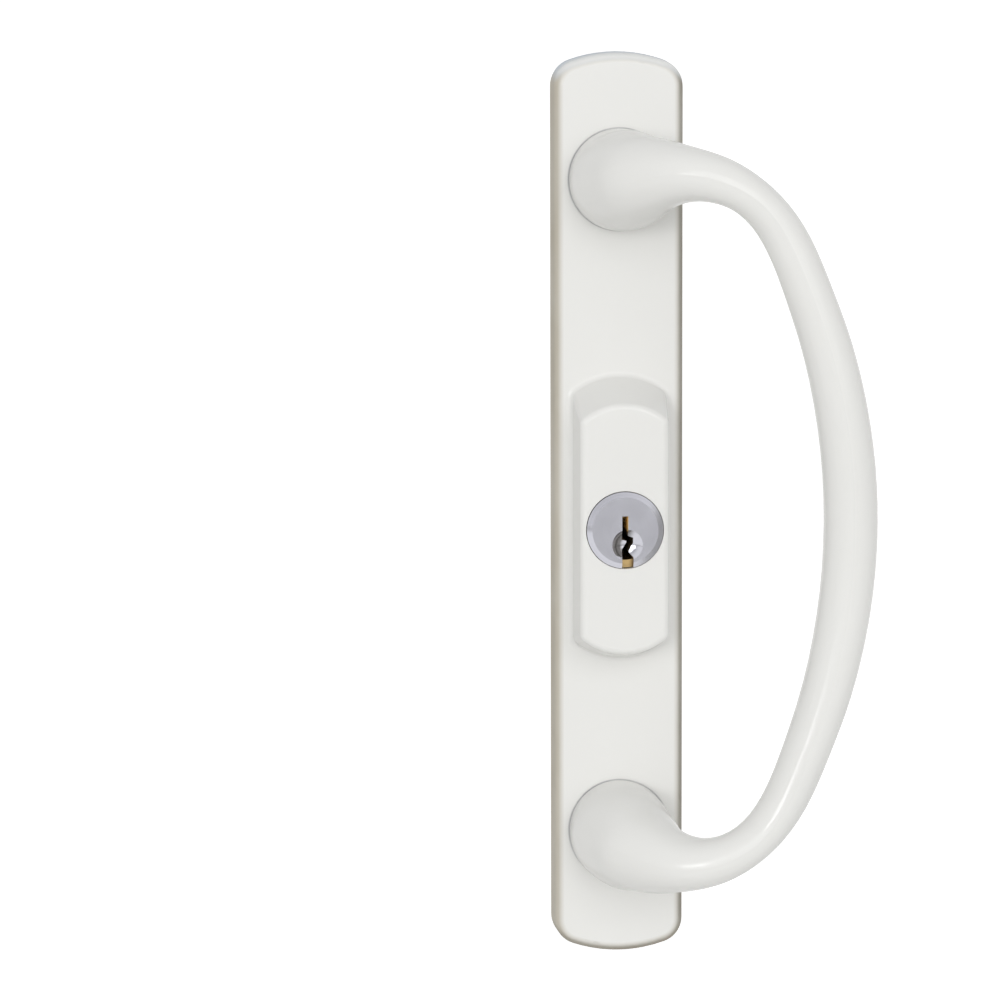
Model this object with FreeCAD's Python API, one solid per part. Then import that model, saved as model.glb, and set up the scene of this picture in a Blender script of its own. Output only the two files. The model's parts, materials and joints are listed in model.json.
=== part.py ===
import FreeCAD, Part
import os
from math import atan2, cos, exp, hypot, pi, radians, sin, sqrt, tan

# Outside half of a sliding patio door handle, in millimetres.
# +Z is up, +X is the side the pull bows to, the front faces -Y.
# The door face is the plane y = 0, and "depth" is measured from it towards the front.

# escutcheon plate
plate_height = 190.5
plate_width = 27.5
plate_depth = 8.0
plate_web = 2.4
plate_wall = 2.2
plate_end_radius = 30.0
plate_corner_radius = 5.8
plate_edge_radius = 1.9
plate_draft = 2.0
rib_thickness = 1.4
rib_relief = 1.2
rib_places = [36.0, 59.4, 84.7]
boss_relief = 0.3

# lock housing on the plate
lock_drop = 3.55
lock_face_depth = 20.0
housing_face_width = 18.4
housing_face_height = 52.3
housing_face_end_radius = 13.4
housing_foot_end_radius = 15.6
housing_corner_radius = 1.9
housing_top_run = 5.1
housing_bottom_run = 2.2
housing_side_run = 0.7
housing_wall = 2.0
housing_face_wall = 2.5
housing_foot_fillet = 1.2
housing_face_fillet = 1.3

# D pull
foot_spacing = 137.6
foot_diameter = 21.2
foot_collar = 3.0
foot_edge_radius = 0.4
grip_plane_depth = 39.0
grip_reach = 44.5
grip_bow_radius = 129.5
grip_shoulder_radius = 22.6
grip_width = 11.05
grip_neck_width = 8.15
grip_section_ratio = 1.18
elbow_reach = 22.0
flare_length = 9.3
flare_power = 1.2
spigot_diameter = 9.0
spigot_height = 2.0

# screws and washers of the feet
foot_screw_diameter = 5.0
foot_screw_length = 14.0
foot_screw_head_diameter = 9.4
foot_screw_head_height = 3.2
foot_washer_diameter = 12.4
foot_washer_thickness = 1.0
foot_ring_wall = 2.0

# threaded posts to the door
post_spacing = 100.0
post_diameter = 8.0
post_reach = 20.0
post_seat = 6.0
post_thread_bore = 4.2
post_thread_length = 18.0
post_boss_wall = 2.2
post_chamfer = 0.6

# key cylinder
key_face_diameter = 16.0
key_face_thickness = 2.2
key_face_proud = 0.8
key_face_bevel = 1.1
key_face_bevel_rise = 0.6
key_dish_radius = 4.6
key_dish_depth = 1.3
key_dish_drop = 3.05
key_dish_side = 0.45
plug_diameter = 12.7
plug_tail = 10.0
shell_diameter = 16.0
shell_tail = 4.0
bible_width = 7.0
bible_height = 16.0
flange_diameter = 19.0
flange_thickness = 1.0
seat_wall = 1.7

# clamp behind the cylinder
clamp_diameter = 21.0
clamp_thickness = 1.6
clamp_ear_width = 8.4
clamp_screw_above = 20.5
clamp_screw_below = 12.8
clamp_screw_diameter = 3.5
clamp_screw_length = 9.0
clamp_screw_head_diameter = 6.4
clamp_screw_head_height = 2.2

# pin stacks
pin_count = 5
pin_pitch = 3.8
pin_diameter = 2.9
first_pin_setback = 2.4
driver_length = 4.0
driver_chamfer = 0.25
key_pin_tips = [1.9, 2.5, 1.5, 2.8, 2.1]
plug_chamber_floor = 0.9
keyway_end_wall = 2.0
spring_wire = 0.36
spring_diameter = 2.5
spring_turns = 5
cover_thickness = 0.8
cover_width = 5.0

# clip and tailpiece
clip_width = 2.1
clip_thickness = 0.9
clip_groove_depth = 0.9
clip_opening = 70.0
tail_width = 6.0
tail_thickness = 1.6
tail_reach = 48.0
tail_slot_length = 4.0
tail_pin_diameter = 1.5
tail_notch_count = 5
tail_notch_pitch = 5.0
tail_notch_depth = 0.6

# clearances, each on one side
running_gap = 0.05
axial_gap = 0.2
seat_gap = 0.15
screw_gap = 0.05
hole_gap = 0.2
press_gap = 0.02
hole_run_out = 0.6

V = FreeCAD.Vector
lock_z = -lock_drop
floor_depth = plate_depth - plate_web
foot_z = foot_spacing / 2
post_z = post_spacing / 2
face_bore = key_face_diameter / 2 + seat_gap
clamp_front = floor_depth - flange_thickness
clamp_back = clamp_front - clamp_thickness
clamp_high = lock_z + clamp_screw_above
clamp_low = lock_z - clamp_screw_below


def arched_outline(half_width, low, high, end_r, corner_r, depth):
    # straight sides, an arc over each end, and a rounded corner tangent to both
    y = -depth
    inset = half_width - corner_r
    rise = sqrt((end_r - corner_r) ** 2 - inset ** 2)
    ux = inset / (end_r - corner_r)
    uz = rise / (end_r - corner_r)
    bend = hypot(1 + ux, uz)
    points = []
    for apex, way in ((high, 1), (low, -1)):
        side = V(half_width, y, apex - way * (end_r - rise))
        mid = V(inset + corner_r * (1 + ux) / bend, y, side.z + way * corner_r * uz / bend)
        join = V(end_r * ux, y, apex - way * end_r * (1 - uz))
        points.append((side, mid, join, V(0, y, apex)))
    (side_a, mid_a, join_a, top), (side_b, mid_b, join_b, bottom) = points

    def left(p):
        return V(-p.x, p.y, p.z)

    edges = [
        Part.makeLine(side_b, side_a),
        Part.Arc(side_a, mid_a, join_a).toShape(),
        Part.Arc(join_a, top, left(join_a)).toShape(),
        Part.Arc(left(join_a), left(mid_a), left(side_a)).toShape(),
        Part.makeLine(left(side_a), left(side_b)),
        Part.Arc(left(side_b), left(mid_b), left(join_b)).toShape(),
        Part.Arc(left(join_b), bottom, join_b).toShape(),
        Part.Arc(join_b, mid_b, side_b).toShape(),
    ]
    return Part.Wire(edges)


def rod(radius, z, depth_from, depth_to):
    # round bar along the depth direction
    near = min(depth_from, depth_to)
    return Part.makeCylinder(radius, abs(depth_to - depth_from), V(0, -near, z), V(0, -1, 0))


def block(x0, x1, depth_from, depth_to, z0, z1):
    near = min(depth_from, depth_to)
    far = max(depth_from, depth_to)
    return Part.makeBox(x1 - x0, far - near, z1 - z0, V(x0, -far, z0))


def edges_at(shape, depth):
    # the edges that lie wholly in the plane at this depth
    found = []
    for e in shape.Edges:
        if abs(e.BoundBox.YMin + depth) < 1e-4 and abs(e.BoundBox.YMax + depth) < 1e-4:
            found.append(e)
    return found


def plate_outline(inset, depth):
    half = plate_width / 2 - inset
    end = plate_height / 2 - inset
    end_r = plate_end_radius - inset
    return arched_outline(half, -end, end, end_r, plate_corner_radius - inset, depth)


def housing_outline(share, inset, depth):
    # share runs from 0 at the plate to 1 at the lock face
    run = 1 - share
    half = housing_face_width / 2 + housing_side_run * run - inset
    high = lock_z + housing_face_height / 2 + housing_top_run * run - inset
    low = lock_z - housing_face_height / 2 - housing_bottom_run * run + inset
    end_r = housing_face_end_radius * share + housing_foot_end_radius * run - inset
    return arched_outline(half, low, high, end_r, max(housing_corner_radius - inset, 0.5), depth)


def loft(wires):
    return Part.makeLoft(wires, True, True)


def pin_depth(i):
    return lock_face_depth - housing_face_wall - first_pin_setback - i * pin_pitch


def obround(half_width, low, high, depth_from, depth_to):
    # strip with round ends whose end centres are at low and high
    body = block(-half_width, half_width, depth_from, depth_to, low, high)
    ends = [rod(half_width, low, depth_from, depth_to), rod(half_width, high, depth_from, depth_to)]
    return body.multiFuse(ends).removeSplitter()


def outside_plate():
    draft_run = plate_depth * tan(radians(plate_draft))
    body = loft([plate_outline(0, 0), plate_outline(draft_run, plate_depth)])
    body = body.makeFillet(plate_edge_radius, edges_at(body, plate_depth))
    housing = loft([housing_outline(0, 0, plate_depth), housing_outline(1, 0, lock_face_depth)])
    face_edges = edges_at(housing, lock_face_depth)
    housing = housing.makeFillet(housing_face_fillet, face_edges)
    body = body.fuse(housing).removeSplitter()
    foot_box = housing.BoundBox
    foot_edges = []
    for e in edges_at(body, plate_depth):
        b = e.BoundBox
        inside = b.XMax < foot_box.XMax + 0.01 and b.XMin > foot_box.XMin - 0.01
        if inside and b.ZMax < foot_box.ZMax + 0.01 and b.ZMin > foot_box.ZMin - 0.01:
            foot_edges.append(e)
    body = body.makeFillet(housing_foot_fillet, foot_edges)

    hollow = Part.Face(plate_outline(plate_wall, 0)).extrude(V(0, -floor_depth, 0))
    inner_depth = lock_face_depth - housing_face_wall
    inner_share = (inner_depth - plate_depth) / (lock_face_depth - plate_depth)
    back_share = (floor_depth - plate_depth) / (lock_face_depth - plate_depth)
    pocket = loft([
        housing_outline(back_share, housing_wall, floor_depth),
        housing_outline(inner_share, housing_wall, inner_depth),
    ])
    bible_half = bible_width / 2 + seat_gap
    bible_top = lock_z + bible_height + seat_gap
    cheek = bible_half + seat_wall
    screw_boss = clamp_screw_diameter / 2 + seat_wall
    seat = rod(face_bore + seat_wall, lock_z, floor_depth, inner_depth).multiFuse([
        block(-cheek, cheek, floor_depth, inner_depth, lock_z, bible_top + seat_wall),
        rod(screw_boss, clamp_high, floor_depth, inner_depth),
        rod(screw_boss, clamp_low, floor_depth, inner_depth),
    ])
    body = body.cut(hollow).cut(pocket.cut(seat))

    # rings, bosses and ribs that stand up from the hollow back
    ring_radius = foot_washer_diameter / 2 + hole_gap + foot_ring_wall
    boss_radius = post_diameter / 2 + post_boss_wall
    stands = []
    for way in (1, -1):
        stands.append(rod(ring_radius, way * foot_z, boss_relief, floor_depth))
        stands.append(rod(boss_radius, way * post_z, boss_relief, floor_depth))
        for place in rib_places:
            low = way * place - rib_thickness / 2
            rib = block(-plate_width, plate_width, rib_relief, floor_depth, low, low + rib_thickness)
            stands.append(rib.common(hollow))
    body = body.multiFuse(stands).removeSplitter()

    cuts = [
        rod(face_bore, lock_z, 0, lock_face_depth + 1),
        block(-bible_half, bible_half, 0, inner_depth, lock_z, bible_top),
    ]
    screw_hole_end = clamp_back + clamp_screw_length + hole_run_out
    for z in (clamp_high, clamp_low):
        cuts.append(rod(clamp_screw_diameter / 2 + screw_gap, z, 0, screw_hole_end))
    for way in (1, -1):
        cuts.append(rod(foot_washer_diameter / 2 + hole_gap, way * foot_z, 0, floor_depth))
        cuts.append(rod(spigot_diameter / 2 + hole_gap / 2, way * foot_z, 0, plate_depth + 1))
        cuts.append(rod(post_diameter / 2 + press_gap, way * post_z, 0, post_seat))
    return body.cut(cuts)


def grip_frame():
    # centre of the shoulder arc: it passes through the foot axis and runs into the bow from inside
    bow_x = grip_reach - grip_bow_radius
    far = grip_bow_radius - grip_shoulder_radius
    apart = hypot(bow_x, foot_z)
    along = (far ** 2 - grip_shoulder_radius ** 2 + apart ** 2) / (2 * apart)
    off = sqrt(far ** 2 - along ** 2)
    ux, uz = -bow_x / apart, foot_z / apart
    centre = V(bow_x + ux * along + uz * off, 0, uz * along - ux * off)
    join = atan2(centre.z, centre.x - bow_x)
    start = atan2(foot_z - centre.z, -centre.x)
    return bow_x, centre, join, start


def grip_section(s, width, ratio):
    # oval ring across the grip at plan length s from the foot axis
    bow_x, centre, join, start = grip_frame()
    shoulder_length = grip_shoulder_radius * (start - join)
    if s < shoulder_length:
        turn = start - s / grip_shoulder_radius
        origin, radius = centre, grip_shoulder_radius
    else:
        turn = join - (s - shoulder_length) / grip_bow_radius
        origin, radius = V(bow_x, 0, 0), grip_bow_radius
    outward = V(cos(turn), 0, sin(turn))
    plan = V(sin(turn), 0, -cos(turn))
    rise = grip_plane_depth - plate_depth - foot_collar
    left = max(1 - s / elbow_reach, 0)
    lift = sqrt(1 - left ** 2)
    ahead = plan * (elbow_reach * lift) + V(0, -rise * left, 0)
    ahead.normalize()
    middle = origin + outward * radius + V(0, -(plate_depth + foot_collar + rise * lift), 0)
    across = ahead.cross(outward)
    long_end = middle + across * (width * ratio / 2)
    return Part.Ellipse(long_end, middle + outward * (width / 2), middle).toShape()


def pull_handle():
    bow_x, centre, join, start = grip_frame()
    half_length = grip_shoulder_radius * (start - join) + grip_bow_radius * join
    stations = [elbow_reach * (1 - cos(radians(a))) for a in (0, 14, 28, 42, 56, 72, 90)]
    step = (half_length - elbow_reach) / 6
    stations += [elbow_reach + step * i for i in range(1, 7)]
    rings = []
    for s in stations:
        share = max(s - elbow_reach, 0) / (half_length - elbow_reach)
        slim = grip_neck_width + (grip_width - grip_neck_width) * sin(pi / 2 * share)
        flare = exp(-(s / flare_length) ** flare_power)
        width = slim + (foot_diameter - grip_neck_width) * flare
        ratio = 1.0001 + (grip_section_ratio - 1) * (1 - flare)
        rings.append(Part.Wire([grip_section(s, width, ratio)]))
    foot = rings[0].copy()
    foot.translate(V(0, foot_collar, 0))
    upper = [foot] + rings
    lower = [w.mirror(V(0, 0, 0), V(0, 0, 1)) for w in reversed(upper[:-1])]
    body = Part.makeLoft(upper + lower, True, False)
    body = body.makeFillet(foot_edge_radius, edges_at(body, plate_depth))
    for way in (1, -1):
        z = way * foot_z
        body = body.fuse(rod(spigot_diameter / 2, z, plate_depth - spigot_height, plate_depth))
        deep = floor_depth + foot_screw_length - foot_washer_thickness + hole_run_out
        body = body.cut(rod(foot_screw_diameter / 2 + screw_gap, z, 0, deep))
    return body


def cross_recess(head_diameter, z, depth):
    # crossed driver slots in a screw head that faces the door
    reach = head_diameter * 0.29
    wide = head_diameter * 0.075
    deep = depth + head_diameter * 0.16
    level = block(-reach, reach, depth - 1, deep, z - wide, z + wide)
    return level.fuse(block(-wide, wide, depth - 1, deep, z - reach, z + reach))


def pan_screw(shank, length, head_size, z, seat_depth):
    # head towards the door, shank towards the front
    head_diameter, head_height = head_size
    top = seat_depth - head_height
    head = rod(head_diameter / 2, z, top, seat_depth)
    head = head.makeFillet(head_height * 0.55, edges_at(head, top))
    shaft = rod(shank / 2, z, seat_depth, seat_depth + length)
    shaft = shaft.makeChamfer(shank * 0.12, edges_at(shaft, seat_depth + length))
    return head.fuse(shaft).removeSplitter().cut(cross_recess(head_diameter, z, top))


def foot_screws():
    seat = floor_depth - foot_washer_thickness
    head = (foot_screw_head_diameter, foot_screw_head_height)
    screws = []
    for z in (foot_z, -foot_z):
        screws.append(pan_screw(foot_screw_diameter, foot_screw_length, head, z, seat))
    return Part.makeCompound(screws)


def foot_washers():
    rings = []
    for way in (1, -1):
        ring = rod(foot_washer_diameter / 2, way * foot_z, floor_depth - foot_washer_thickness, floor_depth)
        rings.append(ring.cut(rod(foot_screw_diameter / 2 + hole_gap, way * foot_z, 0, plate_depth)))
    return Part.makeCompound(rings)


def door_posts():
    posts = []
    for way in (1, -1):
        z = way * post_z
        post = rod(post_diameter / 2, z, -post_reach, post_seat)
        post = post.makeChamfer(post_chamfer, edges_at(post, -post_reach))
        bore = rod(post_thread_bore / 2, z, -post_reach, post_thread_length - post_reach)
        posts.append(post.cut(bore))
    return Part.makeCompound(posts)


def cylinder_shell():
    front = lock_face_depth + key_face_proud - key_face_thickness - axial_gap
    bible_front = lock_face_depth - housing_face_wall - axial_gap / 2
    half = bible_width / 2
    body = rod(shell_diameter / 2, lock_z, -shell_tail, front).multiFuse([
        block(-half, half, -shell_tail, bible_front, lock_z, lock_z + bible_height),
        rod(flange_diameter / 2, lock_z, clamp_front, floor_depth),
    ]).removeSplitter()
    cuts = [rod(plug_diameter / 2 + running_gap, lock_z, -shell_tail - 1, front + 1)]
    for i in range(pin_count):
        cuts.append(pin_chamber(i, 0, bible_height))
    cuts.append(cover_strip(0))
    return body.cut(cuts)


def cylinder_clamp():
    # round plate with two ears that holds the shell by its flange
    half = bible_width / 2 + hole_gap
    ears = obround(clamp_ear_width / 2, clamp_low, clamp_high, clamp_back, clamp_front)
    body = ears.fuse(rod(clamp_diameter / 2, lock_z, clamp_back, clamp_front)).removeSplitter()
    cuts = [
        rod(shell_diameter / 2 + hole_gap, lock_z, 0, floor_depth),
        block(-half, half, 0, floor_depth, lock_z, lock_z + bible_height + hole_gap),
    ]
    for z in (clamp_high, clamp_low):
        cuts.append(rod(clamp_screw_diameter / 2 + hole_gap, z, 0, floor_depth))
    return body.cut(cuts)


def cylinder_screws():
    head = (clamp_screw_head_diameter, clamp_screw_head_height)
    screws = []
    for z in (clamp_high, clamp_low):
        screws.append(pan_screw(clamp_screw_diameter, clamp_screw_length, head, z, clamp_back))
    return Part.makeCompound(screws)


def pin_chamber(i, floor, height):
    return Part.makeCylinder(pin_diameter / 2 + running_gap, height, V(0, -pin_depth(i), lock_z + floor))


def keyway(depth_from, depth_to):
    # stepped slot, drawn from the narrow upper end to the open lower end
    right = [(0.6, 3.0), (0.6, -1.2), (1.7, -1.6), (1.7, -2.7), (0.8, -4.3), (0.8, -4.7), (1.7, -5.6)]
    left = [(-0.66, -4.1), (0.3, -2.6), (0.3, -2.3), (-0.66, -2.0), (-0.66, 3.0)]
    foot = -key_face_diameter
    outline = right + [(1.7, foot), (-0.66, foot)] + left
    points = [V(x, -depth_from, lock_z + z) for x, z in outline]
    face = Part.Face(Part.makePolygon(points + [points[0]]))
    return face.extrude(V(0, depth_from - depth_to, 0))


def key_plug():
    front = lock_face_depth + key_face_proud
    back = front - key_face_thickness
    radius = key_face_diameter / 2
    rim = front - key_face_bevel_rise
    rim_at, forward = V(0, -rim, lock_z), V(0, -1, 0)
    bevel = Part.makeCone(radius, radius - key_face_bevel, key_face_bevel_rise, rim_at, forward)
    body = rod(radius, lock_z, back, rim).multiFuse([
        bevel,
        rod(plug_diameter / 2, lock_z, -plug_tail, back),
    ]).removeSplitter()
    groove_r = plug_diameter / 2 - clip_groove_depth
    groove_near = -shell_tail - axial_gap - clip_thickness - axial_gap
    groove = rod(plug_diameter, lock_z, groove_near, -shell_tail)
    groove = groove.cut(rod(groove_r, lock_z, groove_near, -shell_tail))
    dish_depth = front + key_dish_radius - key_dish_depth
    dish = Part.makeSphere(key_dish_radius, V(key_dish_side, -dish_depth, lock_z - key_dish_drop))
    slot = tail_thickness / 2 + running_gap
    slot_end = tail_slot_length - plug_tail
    low, high = lock_z - plug_diameter, lock_z + plug_diameter
    cuts = [
        groove,
        dish,
        keyway(-shell_tail + keyway_end_wall, front + 1),
        block(-slot, slot, -plug_tail - 1, slot_end, low, high),
        tail_pin_bar(plug_diameter, press_gap),
    ]
    for i in range(pin_count):
        cuts.append(pin_chamber(i, plug_chamber_floor, plug_diameter))
    return body.cut(cuts)


def tail_pin_bar(length, gap):
    depth = tail_slot_length / 2 - plug_tail
    return Part.makeCylinder(tail_pin_diameter / 2 + gap, length, V(-length / 2, -depth, lock_z), V(1, 0, 0))


def key_pin(i):
    # flat top just below the shear line, tapered tip in the keyway
    radius = pin_diameter / 2
    top = sqrt((plug_diameter / 2) ** 2 - radius ** 2) - running_gap
    tip = key_pin_tips[i]
    taper = radius * 0.75
    body = Part.makeCylinder(radius, top - tip - taper, V(0, 0, tip + taper))
    cone = Part.makeCone(radius * 0.3, radius, taper, V(0, 0, tip))
    pin = body.fuse(cone).removeSplitter()
    pin.translate(V(0, -pin_depth(i), lock_z))
    return pin


def driver_pin(i):
    base = V(0, -pin_depth(i), lock_z + plug_diameter / 2 + 2 * running_gap)
    pin = Part.makeCylinder(pin_diameter / 2, driver_length, base)
    return pin.makeChamfer(driver_chamfer, [pin.Edges[0], pin.Edges[2]])


def pin_spring(i):
    base = plug_diameter / 2 + 2 * running_gap + driver_length + spring_wire / 2 + running_gap
    head = bible_height - cover_thickness - spring_wire / 2 - running_gap
    radius = (spring_diameter - spring_wire) / 2
    path = Part.makeHelix((head - base) / spring_turns, head - base, radius)
    half = spring_wire / 2
    corners = [V(radius + half * cos(pi / 2 * k), 0, half * sin(pi / 2 * k)) for k in range(5)]
    coil = Part.Wire(path.Edges).makePipeShell([Part.makePolygon(corners)], True, True)
    coil.translate(V(0, -pin_depth(i), lock_z + base))
    return coil


def cover_strip(gap):
    # strip let into the top of the pin block, over all the chambers
    half = cover_width / 2 - gap
    rim = pin_pitch / 2 - gap
    top = lock_z + bible_height
    last, first = pin_depth(pin_count - 1), pin_depth(0)
    return block(-half, half, last - rim, first + rim, top - cover_thickness, top)


def plug_clip():
    far = -shell_tail - axial_gap
    near = far - clip_thickness
    inner = plug_diameter / 2 - clip_groove_depth + press_gap
    ring = rod(inner + clip_width, lock_z, near, far).cut(rod(inner, lock_z, near - 1, far + 1))
    reach = 2 * plug_diameter
    side = reach * tan(radians(clip_opening / 2))
    mouth = Part.makePolygon([V(0, 0, 0), V(side, 0, -reach), V(-side, 0, -reach), V(0, 0, 0)])
    wedge = Part.Face(mouth).extrude(V(0, plug_tail * 2, 0))
    wedge.translate(V(0, 0, lock_z))
    return ring.cut(wedge)


def tailpiece():
    half = tail_thickness / 2
    start = tail_slot_length - plug_tail - running_gap
    bar = block(-half, half, -tail_reach, start, lock_z - tail_width / 2, lock_z + tail_width / 2)
    tips = [e for e in edges_at(bar, -tail_reach) if e.BoundBox.ZLength < 1e-6]
    bar = bar.makeChamfer(tail_width * 0.2, tips)
    cuts = [tail_pin_bar(plug_diameter, press_gap)]
    for k in range(tail_notch_count):
        # pairs of V notches where the bar snaps off to length
        depth = -tail_reach + tail_notch_pitch * (k + 1)
        for way in (1, -1):
            edge = lock_z + way * tail_width / 2
            tip = V(-tail_width, -depth, edge - way * tail_notch_depth)
            mouth = [V(-tail_width, -depth + side, edge) for side in (tail_notch_depth, -tail_notch_depth)]
            cuts.append(Part.Face(Part.makePolygon([tip] + mouth + [tip])).extrude(V(2 * tail_width, 0, 0)))
    return bar.cut(cuts)


nodes = {
    "outside_plate": outside_plate(),
    "pull_handle": pull_handle(),
    "foot_screws": foot_screws(),
    "foot_washers": foot_washers(),
    "door_posts": door_posts(),
    "cylinder_shell": cylinder_shell(),
    "cylinder_clamp": cylinder_clamp(),
    "cylinder_screws": cylinder_screws(),
    "key_plug": key_plug(),
    "chamber_cover": cover_strip(press_gap),
    "plug_clip": plug_clip(),
    "tailpiece": tailpiece(),
    "tailpiece_pin": tail_pin_bar(plug_diameter - 1.0, 0),
}
for i in range(pin_count):
    nodes["key_pin_%d" % (i + 1)] = key_pin(i)
    nodes["driver_pin_%d" % (i + 1)] = driver_pin(i)
    nodes["pin_spring_%d" % (i + 1)] = pin_spring(i)

os.makedirs("parts", exist_ok=True)
for name, shape in nodes.items():
    shape.exportStep("parts/" + name + ".step")
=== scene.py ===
import bpy
import bmesh
import json
from math import atan, cos, pi, radians, sin, tan
from mathutils import Matrix, Vector


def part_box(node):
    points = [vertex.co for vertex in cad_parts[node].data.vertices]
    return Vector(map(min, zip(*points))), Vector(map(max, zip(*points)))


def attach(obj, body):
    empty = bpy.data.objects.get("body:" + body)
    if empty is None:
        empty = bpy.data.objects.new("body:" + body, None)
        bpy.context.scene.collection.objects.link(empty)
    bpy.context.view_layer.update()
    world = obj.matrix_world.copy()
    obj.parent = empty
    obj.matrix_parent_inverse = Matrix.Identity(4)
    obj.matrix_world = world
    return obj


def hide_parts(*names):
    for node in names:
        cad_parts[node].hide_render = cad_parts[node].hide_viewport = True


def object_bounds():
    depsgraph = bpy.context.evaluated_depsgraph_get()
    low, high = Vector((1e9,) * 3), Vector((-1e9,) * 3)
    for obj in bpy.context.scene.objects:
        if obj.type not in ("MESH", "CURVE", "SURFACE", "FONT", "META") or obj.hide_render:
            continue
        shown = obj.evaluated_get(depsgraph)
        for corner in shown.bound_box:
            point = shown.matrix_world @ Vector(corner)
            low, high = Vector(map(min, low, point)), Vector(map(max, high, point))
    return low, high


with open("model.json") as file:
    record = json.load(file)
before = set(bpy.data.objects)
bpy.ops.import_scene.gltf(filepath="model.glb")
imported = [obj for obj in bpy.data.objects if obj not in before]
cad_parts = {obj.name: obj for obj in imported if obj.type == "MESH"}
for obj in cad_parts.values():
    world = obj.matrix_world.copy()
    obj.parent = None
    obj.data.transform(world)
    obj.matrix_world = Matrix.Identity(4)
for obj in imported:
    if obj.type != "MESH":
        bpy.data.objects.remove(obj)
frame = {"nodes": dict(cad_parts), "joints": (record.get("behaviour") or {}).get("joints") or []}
cadLow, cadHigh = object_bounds()
nodes = frame["nodes"]
lockAt = Vector(frame["joints"][0]["pos_m"])  # middle of the key face, on its turning axis
mm = 0.001
white = (1.0, 1.0, 1.0, 1.0)
print("frame loaded:", len(nodes), "nodes")


# helpers for shader trees

def put(tree, kind, feeds=None, **settings):  # one node, its settings and what goes into it
    node = tree.nodes.new(kind)
    for name, value in settings.items():
        setattr(node, name, value)
    for name, value in (feeds or {}).items():
        if isinstance(value, bpy.types.NodeSocket):
            tree.links.new(value, node.inputs[name])
        else:
            node.inputs[name].default_value = value
    return node


def calc(tree, operation, a, b=0.0, c=0.0):
    return put(tree, "ShaderNodeMath", {0: a, 1: b, 2: c}, operation=operation).outputs[0]


def times(tree, first, *others):  # masks and shares multiplied together
    for other in others:
        first = calc(tree, "MULTIPLY", first, other)
    return first


def absolute(tree, value):
    return calc(tree, "ABSOLUTE", value)


def gap(tree, value, mark):  # how far a value is from a mark, either way
    return absolute(tree, calc(tree, "SUBTRACT", value, mark))


def below(tree, value, limit):
    return calc(tree, "LESS_THAN", value, limit)


def above(tree, value, limit):
    return calc(tree, "GREATER_THAN", value, limit)


def ramp(tree, value, low, high, toLow=0.0, toHigh=1.0):  # smooth step between two limits
    feeds = {"Value": value, 1: low, 2: high, 3: toLow, 4: toHigh}
    return put(tree, "ShaderNodeMapRange", feeds, interpolation_type="SMOOTHSTEP").outputs[0]


def slide(tree, value, low, high, toLow=0.0, toHigh=1.0):  # straight line between two limits
    feeds = {"Value": value, 1: low, 2: high, 3: toLow, 4: toHigh}
    return put(tree, "ShaderNodeMapRange", feeds).outputs[0]


def blendColor(tree, amount, a, b):
    return put(tree, "ShaderNodeMix", {0: amount, 6: a, 7: b}, data_type="RGBA").outputs[2]


def blendValue(tree, amount, a, b):
    return put(tree, "ShaderNodeMix", {0: amount, 2: a, 3: b}).outputs[0]


def noise(tree, vector, scale, detail=2.0, rough=0.5):
    feeds = {"Vector": vector, "Scale": scale, "Detail": detail, "Roughness": rough}
    return put(tree, "ShaderNodeTexNoise", feeds).outputs["Fac"]


def split(tree, vector):  # x, y and z of a vector
    return put(tree, "ShaderNodeSeparateXYZ", {0: vector}).outputs


def vectorCalc(tree, operation, a, b=(0.0, 0.0, 0.0)):
    outputs = put(tree, "ShaderNodeVectorMath", {0: a, 1: b}, operation=operation).outputs
    return outputs["Value" if operation in ("DOT_PRODUCT", "LENGTH") else "Vector"]


def surfaceNormal(tree):
    return put(tree, "ShaderNodeNewGeometry").outputs["Normal"]


def startGroup(name, inputs, outputs):
    group = bpy.data.node_groups.new(name, "ShaderNodeTree")
    for label, kind, value in inputs:
        socket = group.interface.new_socket(label, in_out="INPUT", socket_type="NodeSocket" + kind)
        if value is not None:
            socket.default_value = value
    for label in outputs:
        group.interface.new_socket(label, in_out="OUTPUT", socket_type="NodeSocketFloat")
    source = group.nodes.new("NodeGroupInput").outputs
    result = group.nodes.new("NodeGroupOutput").inputs
    return group, source, result


def useGroup(tree, group, feeds):
    return put(tree, "ShaderNodeGroup", feeds, node_tree=group).outputs


def useSkin(tree, place, look):
    feeds = {"Place": place, "Pebble Scale": look["pebbleScale"], "Drift Scale": look["driftScale"]}
    return useGroup(tree, skinGroup, feeds)


def startMaterial(name):
    material = bpy.data.materials.new(name)
    material.use_nodes = True
    tree = material.node_tree
    shader = tree.nodes["Principled BSDF"]
    place = put(tree, "ShaderNodeTexCoord").outputs["Object"]
    return material, tree, shader, place


def feed(tree, shader, links):  # what varies over the surface, by the shader's sockets
    for name, value in links.items():
        tree.links.new(value, shader.inputs[name])


def bumpInto(tree, shader, height, distance):
    bump = put(tree, "ShaderNodeBump", {"Height": height, "Distance": distance, "Strength": 1.0})
    feed(tree, shader, {"Normal": bump.outputs[0]})


# effects that several finishes share

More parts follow.
